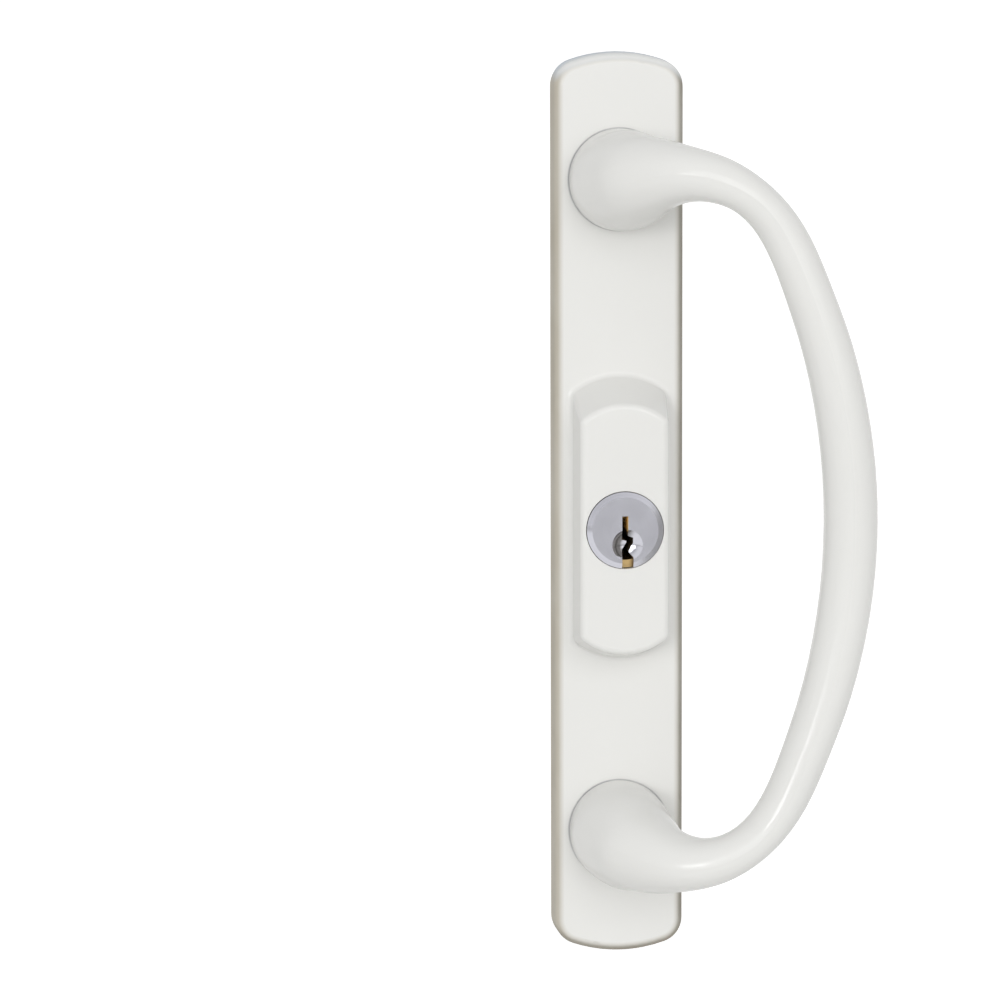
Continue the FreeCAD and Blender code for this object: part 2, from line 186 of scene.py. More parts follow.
skinLook = {
    "pebbleScale": 900.0,
    "pebbleDetail": 3.0,
    "pebbleRoughness": 0.55,
    "driftScale": 40.0,
}
edgeLook = {
    "width": 0.4 * mm,
    "patchiness": 0.6,
    "samples": 4,
    "bend": (0.99, 0.86),  # from a flat surface to a full edge
    "patchScale": 420.0,
    "patchDetail": 3.0,
    "patchSpan": (0.35, 0.65),
}
toolLook = {
    "linesPerMetre": 9000.0,
    "grooveDetail": 2.0,
    "sheenScale": 0.12,  # of the spacing of the lines
    "sheenDetail": 1.0,
}
cornerDarkLook = {
    "reach": 2.5 * mm,
    "samples": 6,
    "hiddenSpan": (0.75, 0.3),  # from open to deep in a corner
    "cloudScale": 260.0,
    "cloudDetail": 4.0,
    "cloudRoughness": 0.6,
    "cloudSpan": (0.3, 0.75, 0.35, 1.0),
}


def makeSkinGroup():  # fine pebble of a sprayed or cast surface, with a slow drift of tone
    inputs = [("Place", "Vector", None), ("Pebble Scale", "Float", skinLook["pebbleScale"]),
              ("Drift Scale", "Float", skinLook["driftScale"])]
    group, source, result = startGroup("surfaceSkin", inputs, ["Pebble", "Drift"])
    fine = noise(group, source["Place"], source["Pebble Scale"],
                 skinLook["pebbleDetail"], skinLook["pebbleRoughness"])
    group.links.new(fine, result["Pebble"])
    slow = noise(group, source["Place"], source["Drift Scale"])
    group.links.new(slow, result["Drift"])
    return group


def makeEdgeGroup():  # outer edges, found by rounding the normal, broken up by noise
    inputs = [("Place", "Vector", None), ("Width", "Float", edgeLook["width"]),
              ("Patchiness", "Float", edgeLook["patchiness"])]
    group, source, result = startGroup("edgeWear", inputs, ["Mask"])
    feeds = {"Radius": source["Width"]}
    rounded = put(group, "ShaderNodeBevel", feeds, samples=edgeLook["samples"]).outputs[0]
    along = vectorCalc(group, "DOT_PRODUCT", rounded, surfaceNormal(group))
    edge = ramp(group, along, *edgeLook["bend"])
    cloud = noise(group, source["Place"], edgeLook["patchScale"], edgeLook["patchDetail"])
    patches = ramp(group, cloud, *edgeLook["patchSpan"])
    lost = calc(group, "SUBTRACT", patches, 1.0)
    kept = calc(group, "MULTIPLY_ADD", lost, source["Patchiness"], 1.0)
    group.links.new(times(group, edge, kept), result["Mask"])
    return group


def makeToolGroup():  # fine tool marks, spaced along one coordinate
    inputs = [("Along", "Float", 0.0), ("Lines Per Metre", "Float", toolLook["linesPerMetre"])]
    group, source, result = startGroup("toolMarks", inputs, ["Groove", "Sheen"])
    step = times(group, source["Along"], source["Lines Per Metre"])
    for label, scale, detail in (("Groove", 1.0, toolLook["grooveDetail"]),
                                 ("Sheen", toolLook["sheenScale"], toolLook["sheenDetail"])):
        feeds = {"W": step, "Scale": scale, "Detail": detail}
        lines = put(group, "ShaderNodeTexNoise", feeds, noise_dimensions="1D")
        group.links.new(lines.outputs["Fac"], result[label])
    return group


def makeCornerDarkGroup():  # darkening in corners and between parts, found by occlusion and broken up by a cloud: tarnish and dust on the metals, dust and painted shade on the enamel
    inputs = [("Place", "Vector", None), ("Reach", "Float", cornerDarkLook["reach"])]
    group, source, result = startGroup("cornerDarkening", inputs, ["Amount"])
    feeds = {"Distance": source["Reach"]}
    hidden = put(group, "ShaderNodeAmbientOcclusion", feeds, samples=cornerDarkLook["samples"]).outputs["AO"]
    corner = ramp(group, hidden, *cornerDarkLook["hiddenSpan"])
    cloud = noise(group, source["Place"], cornerDarkLook["cloudScale"],
                  cornerDarkLook["cloudDetail"], cornerDarkLook["cloudRoughness"])
    cloud = ramp(group, cloud, *cornerDarkLook["cloudSpan"])
    group.links.new(times(group, corner, cloud), result["Amount"])
    return group


skinGroup = makeSkinGroup()
edgeGroup = makeEdgeGroup()
toolGroup = makeToolGroup()
cornerDarkGroup = makeCornerDarkGroup()
print("shared effects built")


# white enamel on the zinc castings

enamel = {
    "paint": (0.805, 0.803, 0.780, 1.0),
    "paintDrift": (0.775, 0.773, 0.750, 1.0),
    "pebbleScale": 750.0,
    "driftScale": 26.0,
    "roughness": 0.45,
    "roughnessDrift": 0.1,
    "gloss": 0.7,
    "glossRoughness": 0.16,
    "bump": 0.006 * mm,
    "faceY": -8.0 * mm,  # front face of the plate
    # dust in the corners, with painted shade there as well
    "cornerDark": (0.50, 0.49, 0.46, 1.0),
    "cornerDarkAmount": 0.30,
}
rimPaintedShade = {
    "color": (0.50, 0.46, 0.38, 1.0),  # painted shade: warm dark tone round the rim of the plate, in place of the shade and warm reflection on its side walls; matt
    # painted shade, darker on the side toward the pull
    "pullSide": (0.30, 0.28, 0.235, 1.0),
    "pullWall": (0.66, 0.64, 0.59, 1.0),  # painted shade lighter again on the flat of that side
    "pullReach": (0.6 * 2.6 * mm, 2.6 * mm),  # depth at which that flat begins
    # painted shade, darker on the lower end
    "below": (0.31, 0.28, 0.225, 1.0),
    "onTop": (0.47, 0.54, 0.62, 1.0),  # painted reflection, cooler on the upper end
    "depth": 0.45 * mm,
    "curve": 0.5,  # under 1 it starts quickly
    "topDepth": 5.5 * mm,
    "amount": 0.94,
    "topAmount": 0.75,
    "sideTurn": (0.1, 0.7),  # how far a surface turns to the side or up to take its colour
    "belowTurn": (-0.1, -0.6),
    "backTurn": (0.6, 0.2),  # none on surfaces that face the door
    "cloudScale": 55.0,
    "cloudDetail": 4.0,
    "cloudRoughness": 0.6,
    "cloudSpan": (0.25, 0.75, 0.85, 1.0),
}
footSeamShade = {
    "color": (0.22, 0.22, 0.25, 1.0),
    "amount": 0.72,
    "width": 0.36 * mm,
    "footRadius": 10.6 * mm,
    "depthShare": 0.8,
    "breakScale": 130.0,
    "breakDetail": 3.0,
    "breakSpan": (0.3, 0.6, 0.55, 1.0),
}
bareZinc = {
    "color": (0.40, 0.41, 0.42, 1.0),  # bare zinc inside the hollow back
    "drift": (0.29, 0.30, 0.31, 1.0),
    "roughness": 0.52,
    "metallic": 0.85,
    "pebbleScale": 1500.0,
    "driftScale": 90.0,
    "grain": 6.0,  # times the enamel's pebble
    "wall": 2.2 * mm,  # side walls of the plate, and the front wall of the lock housing
    "sideSlack": 0.1 * mm,
    "endSlack": 1.4 * mm,
    "floorSlack": 0.2 * mm,
    "overspray": (-0.4 * mm, -2.2 * mm),  # depth over which the paint thins out
    "oversprayWobble": 1.4 * mm,
    "wobbleScale": 350.0,
    "wobbleDetail": 3.0,
    "pocketHalfWidth": 8.4 * mm,
    "pocketNearLock": 22.0 * mm,  # half height of the straight part round the lock
    "pocketMiddle": (0.0, -6.5 * mm, -1.8 * mm),
    "pocketHalfHeight": 29.0 * mm,
    "pocketSlack": 0.1 * mm,
}


def makeSeamShadeGroup():  # painted shade: thin dark line in the gap where the two round feet stand on the plate
    inputs = [("Place", "Vector", None), ("Width", "Float", footSeamShade["width"])]
    group, source, result = startGroup("footSeamShade", inputs, ["Mask"])
    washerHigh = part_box("foot_washers")[1]
    footZ = washerHigh.z - washerHigh.x
    axes = split(group, source["Place"])
    rise = calc(group, "SUBTRACT", absolute(group, axes[2]), footZ)
    flat = put(group, "ShaderNodeCombineXYZ", {0: axes[0], 1: rise}).outputs[0]
    off = gap(group, vectorCalc(group, "LENGTH", flat), footSeamShade["footRadius"])
    low = times(group, gap(group, axes[1], enamel["faceY"]), footSeamShade["depthShare"])
    near = calc(group, "MAXIMUM", off, low)
    line = slide(group, near, 0.0, source["Width"], 1.0, 0.0)
    cloud = noise(group, source["Place"], footSeamShade["breakScale"], footSeamShade["breakDetail"])
    broken = ramp(group, cloud, *footSeamShade["breakSpan"])
    group.links.new(times(group, line, broken), result["Mask"])
    return group


def makeCastInside():  # where the plate is left unpainted: the hollow back and the lock pocket
    low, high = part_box("outside_plate")
    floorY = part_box("foot_washers")[0].y
    wall = bareZinc["wall"]
    group, source, result = startGroup("castInside", [("Place", "Vector", None)], ["Mask", "Rim"])
    axes = split(group, source["Place"])
    side = absolute(group, axes[0])
    cloud = noise(group, source["Place"], bareZinc["wobbleScale"], bareZinc["wobbleDetail"])
    sprayed = calc(group, "ADD", axes[1], times(group, cloud, bareZinc["oversprayWobble"]))
    hollow = times(
        group,
        below(group, side, high.x - wall + bareZinc["sideSlack"]),
        below(group, absolute(group, axes[2]), high.z - wall - bareZinc["endSlack"]),
        above(group, axes[1], floorY - bareZinc["floorSlack"]))
    group.links.new(calc(group, "SUBTRACT", 1.0, hollow), result["Rim"])
    hollow = times(group, hollow, ramp(group, sprayed, *bareZinc["overspray"]))

    middle = bareZinc["pocketMiddle"]
    fromMiddle = vectorCalc(group, "SUBTRACT", source["Place"], middle)
    outward = vectorCalc(group, "DOT_PRODUCT", fromMiddle, surfaceNormal(group))
    ends = times(
        group,
        below(group, gap(group, axes[2], middle[2]), bareZinc["pocketHalfHeight"]),
        below(group, outward, 0.0))
    nearLock = below(group, gap(group, axes[2], lockAt.z), bareZinc["pocketNearLock"])
    pocket = times(
        group,
        calc(group, "MAXIMUM", nearLock, ends),
        below(group, side, bareZinc["pocketHalfWidth"]),
        above(group, axes[1], low.y + wall),
        below(group, axes[1], floorY + bareZinc["pocketSlack"]))
    group.links.new(calc(group, "MAXIMUM", hollow, pocket), result["Mask"])
    return group


def rimPaintedShadeOn(tree, place):  # how much painted rim shade there is, and its colour on each side
    depth = split(tree, place)[1]
    facing = split(tree, surfaceNormal(tree))
    face = enamel["faceY"]
    upper = ramp(tree, facing[2], *rimPaintedShade["sideTurn"])
    amount = calc(tree, "POWER", slide(tree, depth, face, face + rimPaintedShade["depth"]), rimPaintedShade["curve"])
    amount = times(tree, amount, rimPaintedShade["amount"])
    onTop = times(tree, slide(tree, depth, face, face + rimPaintedShade["topDepth"]), rimPaintedShade["topAmount"])
    cloud = noise(tree, place, rimPaintedShade["cloudScale"], rimPaintedShade["cloudDetail"], rimPaintedShade["cloudRoughness"])
    amount = times(
        tree,
        blendValue(tree, upper, amount, onTop),
        ramp(tree, cloud, *rimPaintedShade["cloudSpan"]),
        ramp(tree, facing[1], *rimPaintedShade["backTurn"]))
    flat = ramp(tree, depth, *(face + reach for reach in rimPaintedShade["pullReach"]))
    pullSide = blendColor(tree, flat, rimPaintedShade["pullSide"], rimPaintedShade["pullWall"])
    toPull = ramp(tree, facing[0], *rimPaintedShade["sideTurn"])
    color = blendColor(tree, toPull, rimPaintedShade["color"], pullSide)
    color = blendColor(tree, ramp(tree, facing[2], *rimPaintedShade["belowTurn"]), color, rimPaintedShade["below"])
    return amount, blendColor(tree, upper, color, rimPaintedShade["onTop"])


def makeEnamel(name, inside=None):
    material, tree, shader, place = startMaterial(name)
    skin = useSkin(tree, place, enamel)
    cornerDark = useGroup(tree, cornerDarkGroup, {"Place": place})["Amount"]
    seamShade = useGroup(tree, seamShadeGroup, {"Place": place})["Mask"]
    rimShade, rimShadeColor = rimPaintedShadeOn(tree, place)
    if inside:
        zone = useGroup(tree, inside, {"Place": place})
        rimShade = times(tree, rimShade, zone["Rim"])
    color = blendColor(tree, skin["Drift"], enamel["paint"], enamel["paintDrift"])
    # painted shade and reflection round the rim
    color = blendColor(tree, rimShade, color, rimShadeColor)
    # dust and painted shade in the corners of the enamel
    color = blendColor(tree, times(tree, cornerDark, enamel["cornerDarkAmount"]), color, enamel["cornerDark"])
    # painted shade in the gap round each foot
    color = blendColor(tree, times(tree, seamShade, footSeamShade["amount"]), color, footSeamShade["color"])
    rough = calc(tree, "MULTIPLY_ADD", skin["Drift"], enamel["roughnessDrift"], enamel["roughness"])
    gloss = times(tree, calc(tree, "SUBTRACT", 1.0, rimShade), enamel["gloss"])
    height = skin["Pebble"]
    if inside:
        bare = zone["Mask"]
        cast = useSkin(tree, place, bareZinc)
        zinc = blendColor(tree, cast["Drift"], bareZinc["color"], bareZinc["drift"])
        color = blendColor(tree, bare, color, zinc)
        rough = blendValue(tree, bare, rough, bareZinc["roughness"])
        gloss = times(tree, gloss, calc(tree, "SUBTRACT", 1.0, bare))
        feed(tree, shader, {"Metallic": times(tree, bare, bareZinc["metallic"])})
        height = blendValue(tree, bare, height, times(tree, cast["Pebble"], bareZinc["grain"]))
    bumpInto(tree, shader, height, enamel["bump"])
    feed(tree, shader, {"Base Color": color, "Roughness": rough, "Coat Weight": gloss})
    shader.inputs["Specular IOR Level"].default_value = 0.0  # the gloss is all in the clear top layer
    shader.inputs["Coat Roughness"].default_value = enamel["glossRoughness"]
    return material


seamShadeGroup = makeSeamShadeGroup()
plateEnamel = makeEnamel("plateEnamel", makeCastInside())
pullEnamel = makeEnamel("pullEnamel")
print("enamel ready")


# metals of the lock and the fixings

tarnish = (0.16, 0.12, 0.08, 1.0)
keywayShade = (0.035, 0.026, 0.016, 1.0)  # painted shade deep in the keyway, between the wards
# painted light: brass much brighter than its own colour, where the open upper keyway is lit
litSlotColor = (0.95, 0.73, 0.33, 1.0)
pinColor = (0.88, 0.64, 0.28, 1.0)
zincColor = (0.47, 0.47, 0.46, 1.0)
zincTint = (0.40, 0.43, 0.48, 1.0)

plugLook = {
    "plating": (0.56, 0.56, 0.615, 1.0),
    "platingSheen": (0.62, 0.62, 0.675, 1.0),
    "platingDepth": 1.9 * mm,  # behind this the plug is bare brass
    "roughness": (0.10, 0.19),
    "linesPerMetre": 14000.0,
    "pebbleScale": 2400.0,
    "driftScale": 240.0,
    "bump": 0.002 * mm,
    "brass": (0.66, 0.44, 0.18, 1.0),
    "brassDrift": (0.56, 0.36, 0.14, 1.0),
    "grimeReach": 1.6 * mm,
    "cornerDarkAmount": 0.8,
    "dishDarkReflection": (0.075, 0.065, 0.05, 1.0),  # painted dark reflection in the key dish, kept off its lower right wall
    "dishDarkReflectionAmount": 0.8,
    "dishBrightWall": (-0.95, 0.0, 0.3),  # way that the wall kept bright faces
    "dishBrightWallSpan": (0.22, -0.16),
    "dishTurn": (-0.985, -0.93),  # from the flat face into the dish
    "dishReach": 5.6 * mm,
    "slotHalfWidth": 1.78 * mm,
    "slotTop": 3.2 * mm,
    "slotReach": 4.6 * mm,
    "slotDepth": 14.0 * mm,
    "slotTurn": 0.3,  # walls that stand straight to the face
    "slotRoughness": 0.75,
    "slotMetallicLoss": 0.8,
    "wardSpan": (0.0, -0.6 * mm),
    "wardAmount": 0.92,
    "footNotch": (0.31, 0.205, 0.11, 1.0),
    "footNotchTop": -5.45 * mm,
}
metalLook = {
    "pebbleScale": 1800.0,
    "pebbleShare": 0.6,
    "driftScale": 160.0,
    "grimeReach": 1.5 * mm,
    "edgeWidth": 0.25 * mm,
    "edgeBright": 1.25,
    "sheenSpan": (0.3, 0.7),
    "sheenRoughness": (-0.06, 0.08),
    "bump": 0.004 * mm,
    "keywayShadeSpan": (0.3 * mm, -0.4 * mm),  # painted shade on the key pins, from the middle of the keyway down
}
metalFinishes = {
    "shellBrass": {"base": (0.50, 0.36, 0.17, 1.0), "drift": (0.42, 0.29, 0.13, 1.0), "roughness": 0.38,
                   "along": "Y", "linesPerMetre": 5000.0},
    "pinBrass": {"base": pinColor, "drift": (0.78, 0.55, 0.23, 1.0), "roughness": 0.30,
                 "along": "Z", "linesPerMetre": 9000.0, "dirt": 0.1},
    # painted light on the upper key pins, painted shade on their lower half
    "keyPinBrassLitAndShaded": {"base": litSlotColor, "drift": pinColor, "roughness": 0.45,
                    "along": "Z", "linesPerMetre": 9000.0, "dirt": 0.0, "metallic": 0.25, "keywayShaded": True},
    "zincPlate": {"base": zincColor, "drift": zincTint, "roughness": 0.34,
                  "along": "Y", "linesPerMetre": 6000.0},
    "stampedZinc": {"base": zincColor, "drift": zincTint, "roughness": 0.40,
                    "along": "Z", "linesPerMetre": 2600.0},
    "springSteel": {"base": (0.46, 0.46, 0.48, 1.0), "drift": (0.38, 0.38, 0.41, 1.0), "roughness": 0.28,
                    "along": "radius", "linesPerMetre": 7000.0},
}


def axisDistance(tree, place):  # distance from the turning axis of the key
    moved = vectorCalc(tree, "SUBTRACT", place, lockAt)
    flat = vectorCalc(tree, "MULTIPLY", moved, (1.0, 0.0, 1.0))
    return vectorCalc(tree, "LENGTH", flat)


def makePlug():  # plated, fine-turned key face on a brass plug with bare brass in the keyway, painted lighter in its open upper part and painted dark with shade between the wards
    material, tree, shader, place = startMaterial("platedPlug")
    axes = split(tree, place)
    reach = axisDistance(tree, place)
    up = calc(tree, "SUBTRACT", axes[2], lockAt.z)
    marks = useGroup(tree, toolGroup, {"Along": reach, "Lines Per Metre": plugLook["linesPerMetre"]})
    skin = useSkin(tree, place, plugLook)
    cornerDark = useGroup(tree, cornerDarkGroup, {"Place": place, "Reach": plugLook["grimeReach"]})["Amount"]
    normal = surfaceNormal(tree)
    facing = split(tree, normal)[1]

    # zones of the plug, from the brass body to the parts of the keyway
    behind = above(tree, axes[1], lockAt.y + plugLook["platingDepth"])
    inner = times(
        tree, behind,
        below(tree, reach, plugLook["slotReach"]),
        below(tree, axes[1], lockAt.y + plugLook["slotDepth"]))
    walls = below(tree, absolute(tree, facing), plugLook["slotTurn"])
    slot = times(
        tree,
        calc(tree, "MAXIMUM", inner, walls),
        below(tree, absolute(tree, axes[0]), plugLook["slotHalfWidth"]),
        below(tree, axes[2], lockAt.z + plugLook["slotTop"]))
    bare = calc(tree, "MAXIMUM", slot, behind)
    shadedWards = times(tree, slot, ramp(tree, up, *plugLook["wardSpan"]))
    inNotch = times(tree, slot, below(tree, up, plugLook["footNotchTop"]))
    litOpenSlot = calc(tree, "SUBTRACT", slot, shadedWards)
    lean = vectorCalc(tree, "DOT_PRODUCT", normal, plugLook["dishBrightWall"])
    dishDark = times(
        tree,
        ramp(tree, facing, *plugLook["dishTurn"]),
        below(tree, reach, plugLook["dishReach"]),
        ramp(tree, lean, *plugLook["dishBrightWallSpan"]),
        plugLook["dishDarkReflectionAmount"])

    # painted sheen: the plating lighter along rings of the turning marks
    plated = blendColor(tree, marks["Sheen"], plugLook["plating"], plugLook["platingSheen"])
    # painted dark reflection in the key dish
    plated = blendColor(tree, dishDark, plated, plugLook["dishDarkReflection"])
    brass = blendColor(tree, skin["Drift"], plugLook["brass"], plugLook["brassDrift"])
    color = blendColor(tree, bare, plated, brass)
    color = blendColor(tree, times(tree, cornerDark, plugLook["cornerDarkAmount"]), color, tarnish)
    # painted light: bright brass in the open upper keyway
    color = blendColor(tree, litOpenSlot, color, litSlotColor)
    # painted shade between the wards
    color = blendColor(tree, times(tree, shadedWards, plugLook["wardAmount"]), color, keywayShade)
    color = blendColor(tree, inNotch, color, plugLook["footNotch"])
    rough = ramp(tree, skin["Drift"], 0.0, 1.0, *plugLook["roughness"])
    rough = blendValue(tree, slot, rough, plugLook["slotRoughness"])
    metallic = calc(tree, "MULTIPLY_ADD", slot, -plugLook["slotMetallicLoss"], 1.0)
    feed(tree, shader, {"Base Color": color, "Roughness": rough, "Metallic": metallic})
    bumpInto(tree, shader, marks["Groove"], plugLook["bump"])
    return material


def makeMetal(name, base, drift, roughness, along, linesPerMetre,
              dirt=0.55, wear=0.5, metallic=1.0, keywayShaded=False):
    material, tree, shader, place = startMaterial(name)
    axes = split(tree, place)
    spacing = axisDistance(tree, place) if along == "radius" else axes["XYZ".index(along)]
    marks = useGroup(tree, toolGroup, {"Along": spacing, "Lines Per Metre": linesPerMetre})
    skin = useSkin(tree, place, metalLook)
    cornerDark = useGroup(tree, cornerDarkGroup, {"Place": place, "Reach": metalLook["grimeReach"]})["Amount"]
    edge = useGroup(tree, edgeGroup, {"Place": place, "Width": metalLook["edgeWidth"]})["Mask"]
    color = blendColor(tree, skin["Drift"], base, drift)
    color = blendColor(tree, times(tree, cornerDark, dirt), color, tarnish)
    bright = tuple(min(1.0, channel * metalLook["edgeBright"]) for channel in base[:3]) + (1.0,)
    color = blendColor(tree, times(tree, edge, wear), color, bright)
    # painted shade on the lower half of the key pins
    if keywayShaded:
        up = calc(tree, "SUBTRACT", axes[2], lockAt.z)
        color = blendColor(tree, ramp(tree, up, *metalLook["keywayShadeSpan"]), color, keywayShade)
    finer, coarser = (roughness + step for step in metalLook["sheenRoughness"])
    rough = ramp(tree, marks["Sheen"], *metalLook["sheenSpan"], finer, coarser)
    feed(tree, shader, {"Base Color": color, "Roughness": rough})
    height = calc(tree, "ADD", marks["Groove"], times(tree, skin["Pebble"], metalLook["pebbleShare"]))
    bumpInto(tree, shader, height, metalLook["bump"])
    shader.inputs["Metallic"].default_value = metallic
    return material


platedPlug = makePlug()
metals = {name: makeMetal(name, **values) for name, values in metalFinishes.items()}
print("metals ready")


# screws, posts and springs with their threads, recesses and round wire

screwSizes = {
    "foot_screws": {"head": 9.4 * mm, "headHeight": 3.2 * mm, "shank": 5.0 * mm, "pitch": 0.8 * mm},
    "cylinder_screws": {"head": 6.4 * mm, "headHeight": 2.2 * mm, "shank": 3.5 * mm, "pitch": 0.6 * mm},
}
screwShape = {
    "recessReach": 0.29,  # of the head's diameter, as are the next two
    "recessHalfWidth": 0.075,
    "recessDepth": 0.17,
    "recessPoint": 0.3,  # of the recess's depth
    "recessFloorReach": 0.66,  # of the recess's reach and width at its mouth
    "recessFloorWidth": 0.7,
    "recessLip": 0.03,  # of the head's radius
    "recessSteps": (0.33, 0.66),  # extra points between a corner and the diagonal
    "rounding": 0.55,  # of the head's height, as is the next
    "crown": 0.05,
    "roundingSteps": 6,
    "headBevel": 0.1 * mm,
    "threadDepth": 0.61,  # of the pitch
    "tipTaper": 1.2,  # pitches
    "tipRadius": 0.86,  # of the thread's root
    "stepsPerPitch": 6,
}
postSize = {
    "radius": 4.0 * mm,
    "sides": 40,
    "seatBevel": 0.4 * mm,
    "chamfer": 0.6 * mm,
    "bore": 2.1 * mm,
    "mouth": 2.75 * mm,
    "boreDepth": 18.0 * mm,
    "plainEnd": 1.0 * mm,  # of the bore, with no thread
    "drillPoint": 31.0,  # degrees
    "pitch": 0.8 * mm,
    "threadDepth": 0.42 * mm,
    "stepsPerPitch": 6,
}
springSize = {
    "wire": 0.36 * mm,
    "turns": 5.0,
    "closedTurn": 0.75,  # flat part at each end
    "closedClimb": 0.06,  # share of the height that is spread over all turns
    "stepsPerTurn": 28,
    "wireSides": 10,
}
threadShape = {"crest": 1.6, "flank": 4.4}
smoothAngle = 38  # degrees between faces that still shade as one


def crossAngles():  # directions that meet every corner of the crossed recess
    corner = atan(screwShape["recessHalfWidth"] / screwShape["recessReach"])
    quarter = [0.0, corner / 2, corner]
    quarter += [corner + (pi / 4 - corner) * share for share in screwShape["recessSteps"]]
    quarter += [pi / 4] + [pi / 2 - angle for angle in reversed(quarter[1:])]
    return [turn * pi / 2 + angle for turn in range(4) for angle in quarter]


def crossRadius(angle, reach, halfWidth):
    fold = angle % (pi / 2)
    fold = min(fold, pi / 2 - fold)
    return reach / cos(fold) if fold == 0 else min(reach / cos(fold), halfWidth / sin(fold))


def threadRise(angle, travel, pitch):  # 0 in the root of the thread, 1 on its crest
    phase = (travel / pitch - angle / (2 * pi)) % 1.0
    return min(1.0, max(0.0, threadShape["crest"] - abs(phase - 0.5) * threadShape["flank"]))


def ringAt(angles, radius, y, z):  # radius is a number or a function of the angle
    points = []
    for angle in angles:
        reach = radius(angle) if callable(radius) else radius
        points.append((reach * cos(angle), y, z + reach * sin(angle)))
    return points


def skinRings(shape, rings):  # faces between rings; a ring of one point closes an end
    made = [[shape.verts.new(point) for point in ring] for ring in rings]
    for near, far in zip(made, made[1:]):
        count = max(len(near), len(far))
        for i in range(count):
            j = (i + 1) % count
            if len(near) == 1:
                shape.faces.new((near[0], far[j], far[i]))
            elif len(far) == 1:
                shape.faces.new((near[i], near[j], far[0]))
            else:
                shape.faces.new((near[i], near[j], far[j], far[i]))


def finishPiece(name, shape, material, replaced):
    bmesh.ops.recalc_face_normals(shape, faces=shape.faces)
    mesh = bpy.data.meshes.new(name)
    shape.to_mesh(mesh)
    shape.free()
    mesh.polygons.foreach_set("use_smooth", [True] * len(mesh.polygons))
    mesh.set_sharp_from_angle(angle=radians(smoothAngle))
    mesh.materials.append(material)
    piece = bpy.data.objects.new(name, mesh)
    bpy.context.scene.collection.objects.link(piece)
    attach(piece, "handle")
    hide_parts(replaced)


def screwHeadRings(screw, angles, top, z):  # from the middle of the recess out over the head
    headR = screw["head"] / 2
    seat = top - screw["headHeight"]
    reach = screwShape["recessReach"] * screw["head"]
    half = screwShape["recessHalfWidth"] * screw["head"]
    deep = screwShape["recessDepth"] * screw["head"]
    rounding = screwShape["rounding"] * screw["headHeight"]
    sag = screwShape["crown"] * screw["headHeight"]
    floorReach = reach * screwShape["recessFloorReach"]
    floorHalf = half * screwShape["recessFloorWidth"]
    lip = screwShape["recessLip"] * headR
    floor = top - deep
    rings = [[(0.0, floor - screwShape["recessPoint"] * deep, z)]]
    rings.append(ringAt(angles, lambda a: crossRadius(a, floorReach, floorHalf), floor, z))
    rings.append(ringAt(angles, lambda a: crossRadius(a, reach, half), top - sag / 2, z))
    rings.append(ringAt(angles, lambda a: crossRadius(a, reach, half) + lip, top, z))
    for step in range(screwShape["roundingSteps"] + 1):
        turn = step / screwShape["roundingSteps"] * pi / 2
        out = headR - rounding + rounding * sin(turn)
        rings.append(ringAt(angles, out, top - sag - (rounding - sag) * (1 - cos(turn)), z))
    bevel = screwShape["headBevel"]
    rings.append(ringAt(angles, headR, seat + bevel, z))
    rings.append(ringAt(angles, headR - bevel, seat, z))
    return rings


def screwShankRings(screw, angles, seat, tip, z):  # down the thread to its point
    shankR, pitch = screw["shank"] / 2, screw["pitch"]
    rootR = shankR - screwShape["threadDepth"] * pitch
    length = seat - tip
    steps = int(length / pitch * screwShape["stepsPerPitch"])
    rings = [ringAt(angles, shankR, seat, z)]
    for step in range(1, steps):
        travel = length * step / steps
        runIn = min(1.0, travel / pitch)
        taper = min(1.0, (length - travel) / (screwShape["tipTaper"] * pitch))
        tipR = rootR + (shankR - rootR) * taper

        def radius(angle):
            crest = rootR + (shankR - rootR) * threadRise(angle, travel, pitch)
            return min(shankR + (crest - shankR) * runIn, tipR)

        rings.append(ringAt(angles, radius, seat - travel, z))
    rings.append(ringAt(angles, rootR * screwShape["tipRadius"], tip, z))
    rings.append([(0.0, tip, z)])
    return rings


def makeScrews(node):
    screw = screwSizes[node]
    low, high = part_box(node)
    angles = crossAngles()
    seat = high.y - screw["headHeight"]
    shape = bmesh.new()
    for z in (high.z - screw["head"] / 2, low.z + screw["head"] / 2):
        head = screwHeadRings(screw, angles, high.y, z)
        skinRings(shape, head + screwShankRings(screw, angles, seat, low.y, z))
    finishPiece(node + "_threaded", shape, metals["zincPlate"], node)


def postRings(seatY, endY, z):
    angles = [2 * pi * i / postSize["sides"] for i in range(postSize["sides"])]
    radius, chamfer, bore = postSize["radius"], postSize["chamfer"], postSize["bore"]
    pitch, deep, bevel = postSize["pitch"], postSize["threadDepth"], postSize["seatBevel"]
    rings = [[(0.0, seatY, z)]]
    for out, y in ((radius - bevel, seatY), (radius, seatY + bevel), (radius, endY - chamfer),
                   (radius - chamfer, endY), (postSize["mouth"], endY)):
        rings.append(ringAt(angles, out, y, z))
    start = postSize["mouth"] - bore
    length = postSize["boreDepth"] - postSize["plainEnd"]
    steps = int(length / pitch * postSize["stepsPerPitch"])
    for step in range(1, steps + 1):
        travel = length * step / steps
        cone = bore + max(0.0, start - travel)
        runOut = min(1.0, (length - travel) / pitch)

        def wall(angle):
            return max(cone, bore + deep * runOut * threadRise(-angle, travel, pitch))

        rings.append(ringAt(angles, wall, endY - travel, z))
    bottom = endY - postSize["boreDepth"]
    rings.append(ringAt(angles, bore, bottom, z))
    rings.append([(0.0, bottom - bore * tan(radians(postSize["drillPoint"])), z)])
    return rings


